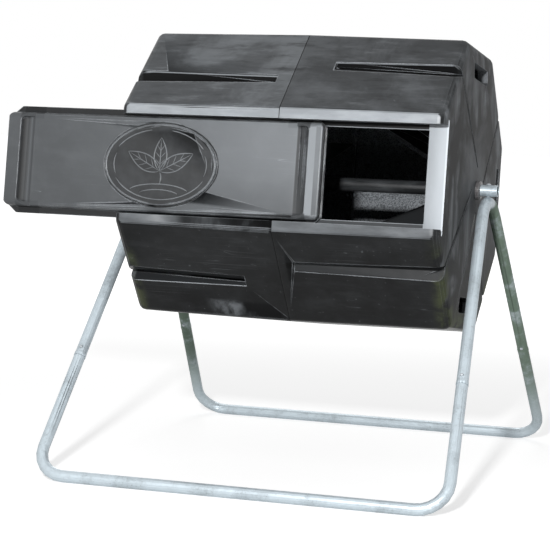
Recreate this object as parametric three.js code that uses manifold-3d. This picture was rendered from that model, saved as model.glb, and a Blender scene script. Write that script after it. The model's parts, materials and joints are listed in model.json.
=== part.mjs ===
// Compost tumbler: an eight-sided moulded drum on a tubular steel stand.
//
// The drum is two identical mouldings, turned end for end and bolted together
// at mid length. It turns on a fixed steel axle. A long moulded door slides
// along a channel in the drum's front face. Each end of the axle is bolted to
// a bent tube arch, and the arches plug onto two U-shaped base frames.
//
// Millimetres, +Z up, front towards -Y, axle along X, floor at Z = 0.

import * as THREE from 'three';
import { mergeVertices } from 'three/addons/utils/BufferGeometryUtils.js';
import Module from 'manifold-3d';

const wasm = await Module();
wasm.setup();

// ---------------------------------------------------------------- sizes

// Stand
const tubeRadius = 12.7;
const tubeWall = 1.6;
const tubeSides = 16;
const axleHeight = 627;
const legSplay = THREE.MathUtils.degToRad(39.2); // of a leg from upright, seen from the side
const legLean = THREE.MathUtils.degToRad(4.9); // of a leg from upright, seen from the front
const archBendRadius = 86;
const baseBendRadius = 62;
const bendSteps = 6;
const plugLevel = 240; // height of the joint between arch and base frame
const plugLength = 62;
const plugWall = 1.3;
const plugClearance = 0.4;
const plugGap = 0.6; // shown between the two tubes at the joint
const swageLength = 4; // over which the plug's bore widens into the base frame's
const bellLength = 13;
const bellSwell = 0.7;

// Snap button in each leg joint
const buttonRadius = 3.6;
const buttonProud = 2.8;
const buttonAboveJoint = 19;
const buttonFlangeRadius = 5;
const buttonFlangeThickness = 1.2;
const buttonClearance = 0.45;

// Axle and its bolts
const axleOverhang = 21; // beyond the arch tube's centre
const axleBoltRadius = 3;
const axleBoltHeadRadius = 5.6;
const axleBoltHeadHeight = 3.4;
const axleBoltTail = 3;
const nutHeight = 5;
const nutCornerRadius = 5.8;

// Drum
const drumApothem = 314.5; // across flats is twice this, at mid length
const drumTaper = 3.5; // apothem lost between mid length and the rim
const rimX = 358.5; // end wall at its rim
const hubRise = 8;
const hubX = rimX + hubRise; // end wall at its hub
const hubPadRadius = 46;
const rimRadius = 18; // where the sides turn into the end wall
const ridgeRadius = 14;
const drumWall = 4;
const seamGap = 0.8;
const seamFlangeWidth = 15;
const seamFlangeThickness = 4;

// Mixing grooves: deep slits pressed into the four sloping sides, between funnel-shaped lips.
// Each one narrows and rises from the rim towards mid length.
const grooveOffset = 33; // slit from the middle of its side
const grooveSlit = 6;
const grooveFunnel = 27;
const grooveFloor = 30; // height of the slit's floor above the axle, at the end wall
const grooveStartFunnel = 12;
const grooveStartDepth = 14;
const highGroove = { start: 84, lips: [-9, 40], startLips: [4, 35] };
const lowGroove = { start: 33, lips: [5, 52], startLips: [17, 44] };

// Vents in the end wall
const ventHalfWidth = 72;
const ventMiddle = 255; // from the axle
const ventHeight = 34;
const ventCollarDepth = 18;
const ventCollarWall = 3;

// Door channel in the drum's front, and the opening in its floor
const channelHalfHeight = 108.3;
const channelFloor = 278; // in front of the axle
const channelUndercut = 12.5;
const channelSlotWidth = 12;
const openingRim = 10.3; // of channel floor above and below the opening
const openingHalfHeight = channelHalfHeight - openingRim;
const openingHalfLength = 318;

// Door: a shallow hollow panel on a wide tongue, with a raised ridge across each end, a
// finger scoop beside each ridge, and a raised oval medallion in its middle
const doorShift = -263.6; // how far the door stands to the left of shut
const doorHalfLength = 359.8;
const doorSideGap = 5; // between the door and the channel's edge
const doorHalfHeight = channelHalfHeight - doorSideGap;
const doorFace = 297; // in front of the axle
const doorLift = 2.5; // door's back edge clear of the channel floor
const doorWall = 4;
const doorCorner = 14;
const doorEdge = 4;
const tongueGap = 3.3; // between the tongue and the channel's wall
const tongueReach = channelUndercut + doorSideGap - tongueGap;
const tongueThickness = 5.5;
const tongueEndReach = 4;
const tongueCornerLength = 27;
const tongueCornerHeight = 23;
const ridgeRise = 11; // door's end ridge above its face
const ridgeWidth = 30;
const ridgeEdge = 3;
const ridgeEndRadius = 14; // at the ridge's top and bottom ends
const scoopLength = 21;
const scoopRunOut = 9;
const scoopDip = 1.5; // scoop's floor below the door's face
const scoopRim = 9.3; // from the scoop's end to the door's edge
const scoopHalfHeight = doorHalfHeight - scoopRim;
const scoopCorner = 11;
const medallionHalfLength = 127.5;
const medallionMargin = 14.8; // above and below the medallion
const medallionHalfHeight = doorHalfHeight - medallionMargin;
const medallionRise = 6.5;
const medallionEdge = 2;
const beadWidth = 3.6;
const beadHeight = 0.9; // above the medallion's field
const moatWidth = 4.4;
const moatDepth = 2;

// Hub bushes
const boreClearance = 0.5;
const bushBarrelRadius = 17;
const bushFlangeRadius = 20.5;
const bushFlangeLength = 10;
const bushBarrelLength = 26;
const archClearance = 3.5; // between a bush and the arch beside it
const hubCollarRadius = 25;
const hubCollarDepth = 24;

// Sleeve that keeps compost off the axle between the bushes
const sleeveClearance = 0.8;
const sleeveWall = 1.7;

// Seam bolts
const seamBoltRadius = 3;
const seamBoltHeadRadius = 5;
const seamBoltHeadHeight = 4;
const seamBoltTail = 4;

const seatGap = 0.3; // between pieces that bear on one another
const holeClearance = 0.35;
const overrun = 6; // by which cutters run past the faces they cut

// From mid length to the arch tube where it carries the axle
const archHalfWidth = hubX + seatGap + bushFlangeLength + archClearance + tubeRadius;

// Drum turned so that the door faces a little upwards
const drumTilt = THREE.MathUtils.degToRad(6.9);

// ------------------------------------------------------------ materials

const steel = { color: 0xb4bcc2, roughness: 0.38, metalness: 0.9 };
const zinc = { color: 0xd2d5d6, roughness: 0.3, metalness: 0.95 };
const drumPlastic = { color: 0x35373a, roughness: 0.6, metalness: 0 };
const doorPlastic = { color: 0x3b3d40, roughness: 0.55, metalness: 0 };
const bushPlastic = { color: 0x6d645d, roughness: 0.7, metalness: 0 };

// -------------------------------------------------------------- helpers

const xAxis = new THREE.Vector3(1, 0, 0);
const yAxis = new THREE.Vector3(0, 1, 0);
const zAxis = new THREE.Vector3(0, 0, 1);
const quarterTurn = Math.PI / 2;

function signedVolume(position, triangles) {
  const [a, b, c] = [new THREE.Vector3(), new THREE.Vector3(), new THREE.Vector3()];
  let sum = 0;
  for (let i = 0; i < triangles.length; i += 3) {
    a.fromBufferAttribute(position, triangles[i]);
    b.fromBufferAttribute(position, triangles[i + 1]);
    c.fromBufferAttribute(position, triangles[i + 2]);
    sum += a.dot(b.cross(c));
  }
  return sum / 6;
}

function solidOf(geometry) {
  const bare = geometry.clone();
  bare.deleteAttribute('normal');
  bare.deleteAttribute('uv');
  const merged = mergeVertices(bare, 1e-4);
  const index = merged.index.array;
  const triangles = [];
  for (let i = 0; i < index.length; i += 3) {
    const [a, b, c] = [index[i], index[i + 1], index[i + 2]];
    if (a !== b && b !== c && c !== a) {
      triangles.push(a, b, c);
    }
  }
  if (signedVolume(merged.attributes.position, triangles) < 0) {
    triangles.reverse();
  }
  return new wasm.Manifold(new wasm.Mesh({
    numProp: 3,
    vertProperties: new Float32Array(merged.attributes.position.array),
    triVerts: new Uint32Array(triangles),
  }));
}

function geometryOf(solid) {
  const mesh = solid.getMesh();
  const geometry = new THREE.BufferGeometry();
  geometry.setAttribute('position', new THREE.BufferAttribute(mesh.vertProperties, 3));
  geometry.setIndex(new THREE.BufferAttribute(mesh.triVerts, 1));
  geometry.computeVertexNormals();
  return geometry;
}

function joined(solids) {
  return solids.reduce((whole, solid) => whole.add(solid));
}

function piece(name, solid, look) {
  const mesh = new THREE.Mesh(geometryOf(solid), new THREE.MeshStandardMaterial(look));
  mesh.name = name;
  return mesh;
}

function box(x0, x1, y0, y1, z0, z1) {
  const geometry = new THREE.BoxGeometry(x1 - x0, y1 - y0, z1 - z0);
  geometry.translate((x0 + x1) / 2, (y0 + y1) / 2, (z0 + z1) / 2);
  return solidOf(geometry);
}

// A turned piece: the profile holds [radius, height] pairs from the axis round to the axis,
// and its height runs along direction from origin.
function turned(profile, sides, origin, direction) {
  const points = profile.map(([radius, height]) => new THREE.Vector2(radius, height));
  const geometry = new THREE.LatheGeometry(points, sides);
  geometry.applyQuaternion(new THREE.Quaternion().setFromUnitVectors(yAxis, direction));
  geometry.translate(origin.x, origin.y, origin.z);
  return solidOf(geometry);
}

function rod(radius, length, sides, origin, direction) {
  return turned([[0, 0], [radius, 0], [radius, length], [0, length]], sides, origin, direction);
}

// Profile points of a shallow dome, from its rim at height base up to the axis
function dome(radius, base, rise, steps) {
  const points = [];
  for (let step = 0; step < steps; step += 1) {
    const angle = (quarterTurn * step) / steps;
    points.push([radius * Math.cos(angle), base + rise * Math.sin(angle)]);
  }
  points.push([0, base + rise]);
  return points;
}

function hexNut(origin, direction) {
  const hexagon = rod(nutCornerRadius, nutHeight, 6, origin, direction);
  const start = origin.clone().addScaledVector(direction, -overrun);
  const bore = rod(axleBoltRadius + holeClearance, nutHeight + 2 * overrun, 8, start, direction);
  return hexagon.subtract(bore);
}

// --------------------------------------------------------- bent tubing

// Straight runs between corner points, joined by arcs of one radius.
// Its stations lie at the ends of the runs and at equal steps round the arcs.
class BentPath extends THREE.Curve {
  constructor(corners, bendRadius) {
    super();
    const last = corners.length - 1;
    const firstTangent = corners[1].clone().sub(corners[0]).normalize();
    const lastTangent = corners[last].clone().sub(corners[last - 1]).normalize();
    this.stations = [{ point: corners[0], tangent: firstTangent }];
    for (let i = 1; i < last; i += 1) {
      this.addBend(corners[i - 1], corners[i], corners[i + 1], bendRadius);
    }
    this.stations.push({ point: corners[last], tangent: lastTangent });
  }

  addBend(before, corner, after, radius) {
    const into = corner.clone().sub(before).normalize();
    const away = after.clone().sub(corner).normalize();
    const turn = into.angleTo(away);
    const inward = away.clone().addScaledVector(into, -away.dot(into)).normalize();
    const start = corner.clone().addScaledVector(into, -radius * Math.tan(turn / 2));
    for (let step = 0; step <= bendSteps; step += 1) {
      const angle = (turn * step) / bendSteps;
      const point = start.clone()
        .addScaledVector(into, radius * Math.sin(angle))
        .addScaledVector(inward, radius * (1 - Math.cos(angle)));
      const tangent = into.clone()
        .multiplyScalar(Math.cos(angle))
        .addScaledVector(inward, Math.sin(angle));
      this.stations.push({ point, tangent });
    }
  }

  get steps() {
    return this.stations.length - 1;
  }

  getUtoTmapping(u) {
    return u;
  }

  getPoint(t, target = new THREE.Vector3()) {
    const place = t * this.steps;
    const i = Math.min(Math.floor(place), this.steps - 1);
    return target.lerpVectors(this.stations[i].point, this.stations[i + 1].point, place - i);
  }

  getTangent(t, target = new THREE.Vector3()) {
    return target.copy(this.stations[Math.round(t * this.steps)].tangent);
  }
}

// Angle of the first corner of the tube's polygonal section that turns one of its flats
// to the given direction at the given station.
function sectionPhase(path, station, facing) {
  const frames = path.computeFrenetFrames(path.steps, false);
  const acrossBinormal = facing.dot(frames.binormals[station]);
  const acrossNormal = facing.dot(frames.normals[station]);
  return Math.atan2(acrossBinormal, acrossNormal) + Math.PI / tubeSides;
}

function bentTube(path, phase) {
  const section = new THREE.Shape();
  section.absarc(0, 0, tubeRadius, phase, phase + 2 * Math.PI);
  const bore = new THREE.Path();
  bore.absarc(0, 0, tubeRadius - tubeWall, phase, phase + 2 * Math.PI);
  section.holes.push(bore);
  return solidOf(new THREE.ExtrudeGeometry(section, {
    steps: path.steps,
    curveSegments: tubeSides / 2,
    extrudePath: path,
    bevelEnabled: false,
  }));
}

// A ring turned about the tube's end, its corners in line with the tube's own.
// The profile's heights run out of the tube.
function endRing(path, atStart, phase, profile) {
  const frames = path.computeFrenetFrames(path.steps, false);
  const end = atStart ? 0 : path.steps;
  const way = atStart ? -1 : 1;
  const points = profile.map(([radius, height]) => new THREE.Vector2(radius, way * height));
  const geometry = new THREE.LatheGeometry(points, tubeSides, phase);
  const basis = new THREE.Matrix4().makeBasis(
    frames.binormals[end],
    frames.tangents[end],
    frames.normals[end],
  );
  geometry.applyMatrix4(basis.setPosition(path.stations[end].point));
  return solidOf(geometry);
}

// -------------------------------------------------------- stand layout

// The base run lies on one of its flats
const baseLevel = tubeRadius * Math.cos(Math.PI / tubeSides);

// The arch passes just under the axle; its legs' centre lines would meet above that
const archTopLevel = axleHeight - 2 * tubeRadius - seatGap;
const legRun = new THREE.Vector3(Math.tan(legLean), Math.tan(legSplay), 1);
const apexRise = archBendRadius * (legRun.length() / legRun.y - 1) * Math.cos(legLean);
const apexLevel = archTopLevel + apexRise;
const apexHalfWidth = archHalfWidth - apexRise * Math.tan(legLean);

// Point of a leg's centre line at a height; side is -1 left or 1 right, end is -1 front or 1 rear
function legPoint(side, end, level) {
  const drop = apexLevel - level;
  return new THREE.Vector3(
    side * (apexHalfWidth + drop * legRun.x),
    end * drop * legRun.y,
    level,
  );
}

function legDirection(side, end) {
  return legPoint(side, end, 1).sub(legPoint(side, end, 0)).normalize();
}

// Snap buttons come out of the front of each leg, square to it
function buttonDirection(side, end) {
  const along = legDirection(side, end);
  const forward = new THREE.Vector3(0, -1, 0);
  return forward.addScaledVector(along, -forward.dot(along)).normalize();
}

function buttonOrigin(side, end) {
  return legPoint(side, end, plugLevel).addScaledVector(legDirection(side, end), buttonAboveJoint);
}

function buttonHole(side, end) {
  const radius = buttonRadius + buttonClearance;
  const reach = tubeRadius + overrun;
  return rod(radius, reach, 10, buttonOrigin(side, end), buttonDirection(side, end));
}

function axleBoltHole(side) {
  const bottom = archTopLevel - tubeRadius - overrun;
  const top = axleHeight + tubeRadius + overrun;
  const origin = new THREE.Vector3(side * archHalfWidth, 0, bottom);
  return rod(axleBoltRadius + holeClearance, top - bottom, 8, origin, zAxis);
}

// Inverted V of one bent tube, its two ends belled to take the base frames' plugs
function legArch(side) {
  const corners = [
    legPoint(side, -1, plugLevel),
    new THREE.Vector3(side * apexHalfWidth, 0, apexLevel),
    legPoint(side, 1, plugLevel),
  ];
  const path = new BentPath(corners, archBendRadius);
  const phase = sectionPhase(path, 0, buttonDirection(side, -1));
  const outside = tubeRadius + bellSwell;
  const root = tubeRadius - 0.1;
  const inside = tubeRadius - tubeWall / 2;
  const bell = [
    [inside, 0],
    [outside, 0],
    [outside, -bellLength / 2],
    [root, -bellLength],
    [inside, -bellLength],
    [inside, 0],
  ];
  const tube = joined([
    bentTube(path, phase),
    endRing(path, true, phase, bell),
    endRing(path, false, phase, bell),
  ]);
  return tube.subtract(joined([buttonHole(side, -1), buttonHole(side, 1), axleBoltHole(side)]));
}

// The plug at each end of a base frame fits the flats of the arch's bore
const flatness = Math.cos(Math.PI / tubeSides);
const plugRadius = (tubeRadius - tubeWall) * flatness - plugClearance;
const plugBore = plugRadius - plugWall;

// U of one bent tube: a run on the floor and two leg stubs with swaged ends
function baseFrame(end) {
  const corners = [
    legPoint(-1, end, plugLevel).addScaledVector(legDirection(-1, end), -plugGap),
    legPoint(-1, end, baseLevel),
    legPoint(1, end, baseLevel),
    legPoint(1, end, plugLevel).addScaledVector(legDirection(1, end), -plugGap),
  ];
  const path = new BentPath(corners, baseBendRadius);
  const floorRun = bendSteps + 2;
  const phase = sectionPhase(path, floorRun, new THREE.Vector3(0, 0, -1));
  const outside = tubeRadius - 0.05;
  const inside = tubeRadius - tubeWall + 0.2;
  const plug = [
    [inside, -swageLength],
    [outside, -swageLength],
    [outside, 0],
    [plugRadius, 0],
    [plugRadius, plugLength],
    [plugBore, plugLength],
    [plugBore, 0],
    [inside, -swageLength],
  ];
  const tube = joined([
    bentTube(path, phase),
    endRing(path, true, phase, plug),
    endRing(path, false, phase, plug),
  ]);
  return tube.subtract(joined([buttonHole(-1, end), buttonHole(1, end)]));
}

// Domed pin, with a flange behind it that bears on the plug's bore
function snapButton(side, end) {
  const boreFlat = plugBore * flatness;
  const flangeTop = Math.sqrt(boreFlat ** 2 - buttonFlangeRadius ** 2) - seatGap;
  const flangeBottom = flangeTop - buttonFlangeThickness;
  const domeRise = 0.7 * buttonRadius;
  const profile = [
    [0, flangeBottom],
    [buttonFlangeRadius, flangeBottom],
    [buttonFlangeRadius, flangeTop],
    [buttonRadius, flangeTop],
    ...dome(buttonRadius, tubeRadius + buttonProud - domeRise, domeRise, 3),
  ];
  return turned(profile, 10, buttonOrigin(side, end), buttonDirection(side, end));
}

// ---------------------------------------------------------------- axle

function axleTube() {
  const halfLength = archHalfWidth + axleOverhang;
  const start = new THREE.Vector3(-halfLength, 0, axleHeight);
  const outside = rod(tubeRadius, 2 * halfLength, 24, start, xAxis);
  const boreStart = start.clone().addScaledVector(xAxis, -overrun);
  const bore = rod(tubeRadius - tubeWall, 2 * (halfLength + overrun), 24, boreStart, xAxis);
  return outside.subtract(joined([bore, axleBoltHole(-1), axleBoltHole(1)]));
}

// The arch's underside curves down to either side of its nut
const nutHalfSpan = nutCornerRadius / archBendRadius;
const archCurveDrop = 2 * archBendRadius * (1 - Math.cos(nutHalfSpan));
const axleNutTop = archTopLevel - tubeRadius - archCurveDrop - 2 * seatGap;

// Domed bolt down through axle and arch
function axleBolt(side) {
  const seat = axleHeight + tubeRadius + seatGap;
  const foot = axleNutTop - nutHeight - axleBoltTail;
  const profile = [
    [0, foot],
    [axleBoltRadius, foot],
    [axleBoltRadius, seat],
    ...dome(axleBoltHeadRadius, seat, axleBoltHeadHeight, 3),
  ];
  return turned(profile, 12, new THREE.Vector3(side * archHalfWidth, 0, 0), zAxis);
}

function axleNut(side) {
  return hexNut(new THREE.Vector3(side * archHalfWidth, 0, axleNutTop - nutHeight), zAxis);
}

// ---------------------------------------------------------------- drum
//
// Drum pieces are modelled about the axle with the door facing -Y, then tilted.
// A side of the octagon is named by its angle from the front, upwards over the top.

const eighthTurn = Math.PI / 4;
const rimApothem = drumApothem - drumTaper;
const ridgeSteps = 3;

function ridgeRadiusAt(apothem) {
  const wallApothem = rimApothem - rimRadius;
  const hubCurve = 0.9 * hubPadRadius;
  const fading = THREE.MathUtils.mapLinear(apothem, hubPadRadius, wallApothem, hubCurve, ridgeRadius);
  return Math.min(0.9 * apothem, Math.max(ridgeRadius, fading));
}

// Made like a turned piece along X, but each ring is an octagon with rounded ridges, and the
// ridges fade out towards the hub. The profile holds [apothem, x] pairs.
function octagonal(profile) {
  const points = profile.map(([apothem, x]) => new THREE.Vector2(apothem, x));
  const perSide = ridgeSteps + 1;
  const geometry = new THREE.LatheGeometry(points, 8 * perSide);
  const position = geometry.attributes.position;
  for (let i = 0; i < position.count; i += 1) {
    const { x: apothem, y: x } = points[i % points.length];
    const column = Math.floor(i / points.length);
    const ridgeAngle = eighthTurn * (Math.floor(column / perSide) + 0.5);
    const arcAngle = ridgeAngle + eighthTurn * ((column % perSide) / ridgeSteps - 0.5);
    const radius = ridgeRadiusAt(apothem);
    const centre = (apothem - radius) / Math.cos(eighthTurn / 2);
    const forward = centre * Math.cos(ridgeAngle) + radius * Math.cos(arcAngle);
    const upward = centre * Math.sin(ridgeAngle) + radius * Math.sin(arcAngle);
    position.setXYZ(i, x, -forward, upward);
  }
  return solidOf(geometry);
}

// The drum's surface, or one inset from it, from x = start to the hub
function shell(inset, start) {
  const rimSteps = 4;
  const profile = [[0, start], [drumApothem - inset, start]];
  for (let step = 0; step <= rimSteps; step += 1) {
    const angle = (quarterTurn * step) / rimSteps;
    const radius = rimRadius - inset;
    profile.push([
      rimApothem - rimRadius + radius * Math.cos(angle),
      rimX - rimRadius + radius * Math.sin(angle),
    ]);
  }
  profile.push([hubPadRadius, hubX - inset], [0, hubX - inset]);
  return octagonal(profile);
}

// Move a solid's geometry from the front side (up = Z) to the side at the given angle
function onSide(geometry, sideAngle) {
  return solidOf(geometry.rotateX(-sideAngle));
}

// Section of a groove at one place: seen along X, x of the outline runs up the side and
// y out of the drum.
function grooveOutline(lips, funnelDepth, floorLevel, margin) {
  const halfSlit = grooveSlit / 2 + margin;
  const funnelLevel = drumApothem - funnelDepth - margin / 2;
  const top = drumApothem + overrun;
  return [
    new THREE.Vector2(lips[0] - margin, top),
    new THREE.Vector2(lips[0] - margin, drumApothem),
    new THREE.Vector2(grooveOffset - halfSlit, funnelLevel),
    new THREE.Vector2(grooveOffset - halfSlit, floorLevel - margin),
    new THREE.Vector2(grooveOffset + halfSlit, floorLevel - margin),
    new THREE.Vector2(grooveOffset + halfSlit, funnelLevel),
    new THREE.Vector2(lips[1] + margin, drumApothem),
    new THREE.Vector2(lips[1] + margin, top),
  ];
}

// A groove widened all round by a margin. Its outline changes evenly along its length.
function groove(sideAngle, form, margin) {
  const startLevel = drumApothem - grooveStartDepth;
  const slitStart = Math.min(form.startLips[1] - grooveSlit, grooveOffset) - grooveOffset;
  const first = grooveOutline(form.startLips, grooveStartFunnel, startLevel, margin);
  const last = grooveOutline(form.lips, grooveFunnel, grooveFloor, margin);
  first.slice(2, 6).forEach((corner) => {
    corner.x += slitStart;
  });
  const geometry = new THREE.ExtrudeGeometry(new THREE.Shape(last), { depth: 1, bevelEnabled: false });
  const position = geometry.attributes.position;
  for (let i = 0; i < position.count; i += 1) {
    const place = new THREE.Vector2(position.getX(i), position.getY(i));
    const atRim = position.getZ(i) > 0.5;
    const corner = last.findIndex((candidate) => candidate.distanceTo(place) < 1e-3);
    const { x: up, y: out } = atRim ? last[corner] : first[corner];
    position.setXYZ(i, atRim ? hubX + overrun : form.start - margin, -out, up);
  }
  return onSide(geometry, sideAngle);
}

function grooves(margin) {
  return joined([
    groove(eighthTurn, highGroove, margin),
    groove(-eighthTurn, lowGroove, margin),
    groove(3 * eighthTurn, lowGroove, margin),
    groove(-3 * eighthTurn, highGroove, margin),
  ]);
}

// The door's channel, widened all round by a margin
function channel(margin) {
  const near = -overrun;
  const far = hubX + overrun;
  const front = -drumApothem - overrun;
  const floor = -channelFloor + margin;
  const slotTop = -channelFloor - channelSlotWidth - margin;
  const throat = channelHalfHeight + margin;
  const slot = channelHalfHeight + channelUndercut + margin;
  return box(near, far, front, floor, -throat, throat).add(box(near, far, slotTop, floor, -slot, slot));
}

function vents(margin, inner, outer) {
  const halfWidth = ventHalfWidth + margin;
  const halfHeight = ventHeight / 2 + margin;
  return joined([2, 4, 6].map((eighths) => {
    const outline = roundedRectangle(halfHeight, halfWidth, 8);
    const geometry = new THREE.ExtrudeGeometry(outline, {
      depth: outer - inner,
      bevelEnabled: false,
      curveSegments: 3,
    });
    geometry.translate(-ventMiddle, 0, inner);
    // outline x runs to the rear of the axle, its y up, and its depth along the drum
    geometry.applyMatrix4(new THREE.Matrix4().makeBasis(yAxis, zAxis, xAxis));
    return onSide(geometry, eighths * eighthTurn);
  }));
}

const seamBoltSides = [1, 2, 3, 4, 5, 6, 7];
const seamBoltLevel = drumApothem - drumWall - seamFlangeWidth / 2;

function seamBoltPlace(eighths, x) {
  const angle = eighths * eighthTurn;
  return new THREE.Vector3(x, -seamBoltLevel * Math.cos(angle), seamBoltLevel * Math.sin(angle));
}

function seamBoltHoles() {
  const length = seamFlangeThickness + 2 * overrun;
  return joined(seamBoltSides.map((eighths) => (
    rod(seamBoltRadius + holeClearance, length, 8, seamBoltPlace(eighths, -overrun), xAxis)
  )));
}

function drumHalf() {
  const flangeBack = seamGap / 2 + seamFlangeThickness;
  const seamApothem = drumApothem - drumWall - seamFlangeWidth;
  const seamMouth = octagonal([
    [0, -overrun],
    [seamApothem, -overrun],
    [seamApothem, flangeBack + overrun],
    [0, flangeBack + overrun],
  ]);
  const axisStart = new THREE.Vector3(hubX - drumWall - hubCollarDepth, 0, 0);
  const hubCollar = rod(hubCollarRadius, hubCollarDepth + drumWall, 24, axisStart, xAxis);
  const boreStart = axisStart.clone().addScaledVector(xAxis, -overrun);
  const boreLength = hubX + overrun - boreStart.x;
  const hubBore = rod(bushBarrelRadius + seatGap, boreLength, 24, boreStart, xAxis);
  const wallX = rimX - drumWall;
  const cavity = shell(drumWall, flangeBack)
    .add(seamMouth)
    .subtract(channel(drumWall))
    .subtract(grooves(drumWall))
    .subtract(hubCollar)
    .subtract(vents(ventCollarWall, wallX - ventCollarDepth, hubX));
  const opening = box(
    -overrun,
    openingHalfLength,
    -channelFloor - overrun,
    -channelFloor + drumWall + overrun,
    -openingHalfHeight,
    openingHalfHeight,
  );
  return shell(0, seamGap / 2)
    .subtract(channel(0))
    .subtract(grooves(0))
    .subtract(cavity)
    .subtract(opening)
    .subtract(vents(0, wallX - ventCollarDepth - overrun, hubX + overrun))
    .subtract(hubBore)
    .subtract(seamBoltHoles());
}

function hubBush(side) {
  const direction = new THREE.Vector3(side, 0, 0);
  const barrelEnd = hubX - bushBarrelLength;
  const flangeStart = hubX + seatGap;
  const flangeEnd = flangeStart + bushFlangeLength;
  const bore = tubeRadius + boreClearance;
  const profile = [
    [bore, barrelEnd],
    [bushBarrelRadius, barrelEnd],
    [bushBarrelRadius, flangeStart],
    [bushFlangeRadius, flangeStart],
    [bushFlangeRadius, flangeEnd - 2],
    [bushFlangeRadius - 2, flangeEnd],
    [bore, flangeEnd],
    [bore, barrelEnd],
  ];
  return turned(profile, 24, new THREE.Vector3(), direction);
}

// Clamped between the two bushes, so that it turns with the drum
function axleSleeve() {
  const halfLength = hubX - bushBarrelLength - seatGap;
  const bore = tubeRadius + sleeveClearance;
  const outside = bore + sleeveWall;
  const profile = [
    [bore, -halfLength],
    [outside, -halfLength],
    [outside, halfLength],
    [bore, halfLength],
    [bore, -halfLength],
  ];
  return turned(profile, 24, new THREE.Vector3(), xAxis);
}

function seamBolt(eighths) {
  const headSeat = seamGap / 2 + seamFlangeThickness + seatGap;
  const foot = -headSeat - nutHeight - seamBoltTail;
  const profile = [
    [0, foot],
    [seamBoltRadius, foot],
    [seamBoltRadius, headSeat],
    ...dome(seamBoltHeadRadius, headSeat, seamBoltHeadHeight, 3),
  ];
  return turned(profile, 8, seamBoltPlace(eighths, 0), xAxis);
}

function seamNut(eighths) {
  const seat = seamGap / 2 + seamFlangeThickness + seatGap;
  return hexNut(seamBoltPlace(eighths, -seat - nutHeight), xAxis);
}

// ---------------------------------------------------------------- door

function roundedRectangle(halfX, halfY, radius) {
  const shape = new THREE.Shape();
  shape.absarc(halfX - radius, halfY - radius, radius, 0, quarterTurn);
  shape.absarc(-halfX + radius, halfY - radius, radius, quarterTurn, 2 * quarterTurn);
  shape.absarc(-halfX + radius, -halfY + radius, radius, 2 * quarterTurn, 3 * quarterTurn);
  shape.absarc(halfX - radius, -halfY + radius, radius, 3 * quarterTurn, 4 * quarterTurn);
  return shape;
}

function ellipse(halfX, halfY) {
  const shape = new THREE.Shape();
  shape.absellipse(0, 0, halfX, halfY, 0, 2 * Math.PI);
  return shape;
}

// A plate of the given outline (x along the drum, y up) between two distances in front of the
// axle. An edge rounds both its faces.
function plate(outline, back, front, edge, curveSegments) {
  const geometry = new THREE.ExtrudeGeometry(outline, {
    depth: front - back - 2 * edge,
    curveSegments,
    bevelEnabled: edge > 0,
    bevelThickness: edge,
    bevelSize: edge,
    bevelOffset: -edge,
    bevelSegments: 2,
  });
  geometry.translate(0, 0, back + edge);
  geometry.applyMatrix4(new THREE.Matrix4().makeBasis(xAxis, zAxis, yAxis.clone().negate()));
  return solidOf(geometry);
}

// A bar of the given section (x along the drum, y in front of the axle), as high as the door's
// part it cuts or adds. At the door's left end it is turned round.
function bar(side, section, halfHeight) {
  const geometry = new THREE.ExtrudeGeometry(section, {
    depth: 2 * halfHeight,
    bevelEnabled: false,
    curveSegments: 3,
  });
  geometry.translate(0, 0, -halfHeight);
  geometry.applyMatrix4(new THREE.Matrix4().makeBasis(xAxis, yAxis.clone().negate(), zAxis));
  if (side < 0) {
    geometry.scale(-1, 1, 1);
  }
  return solidOf(geometry);
}

const doorBack = channelFloor + doorLift;
const panelBack = doorBack + 0.5;
const ridgeTop = doorFace + ridgeRise;
const crest = doorHalfLength - ridgeWidth; // inner edge of an end ridge

// Raised ridge at one end of the door, with a slope from its crest back to the face
function endRidge(side) {
  const slopeEnd = crest - scoopLength - scoopRunOut;
  const section = new THREE.Shape();
  section.moveTo(slopeEnd, panelBack);
  section.lineTo(slopeEnd, doorFace);
  section.lineTo(crest, ridgeTop);
  section.lineTo(doorHalfLength - ridgeEdge, ridgeTop);
  section.quadraticCurveTo(doorHalfLength, ridgeTop, doorHalfLength, ridgeTop - ridgeEdge);
  section.lineTo(doorHalfLength, panelBack);
  const end = new THREE.Shape();
  const radius = ridgeEndRadius;
  end.moveTo(-panelBack, doorHalfHeight);
  end.lineTo(-panelBack, -doorHalfHeight);
  end.absarc(-ridgeTop + radius, -doorHalfHeight + radius, radius, -quarterTurn, -2 * quarterTurn, true);
  end.absarc(-ridgeTop + radius, doorHalfHeight - radius, radius, 2 * quarterTurn, quarterTurn, true);
  const lengthwise = new THREE.ExtrudeGeometry(end, {
    depth: 2 * (doorHalfLength + overrun),
    bevelEnabled: false,
    curveSegments: 6,
  });
  lengthwise.translate(0, 0, -doorHalfLength - overrun);
  lengthwise.applyMatrix4(new THREE.Matrix4().makeBasis(yAxis, zAxis, xAxis));
  const outline = roundedRectangle(doorHalfLength, doorHalfHeight, doorCorner);
  return bar(side, section, doorHalfHeight)
    .intersect(solidOf(lengthwise))
    .intersect(plate(outline, panelBack, ridgeTop + overrun, 0, 4));
}

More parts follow.
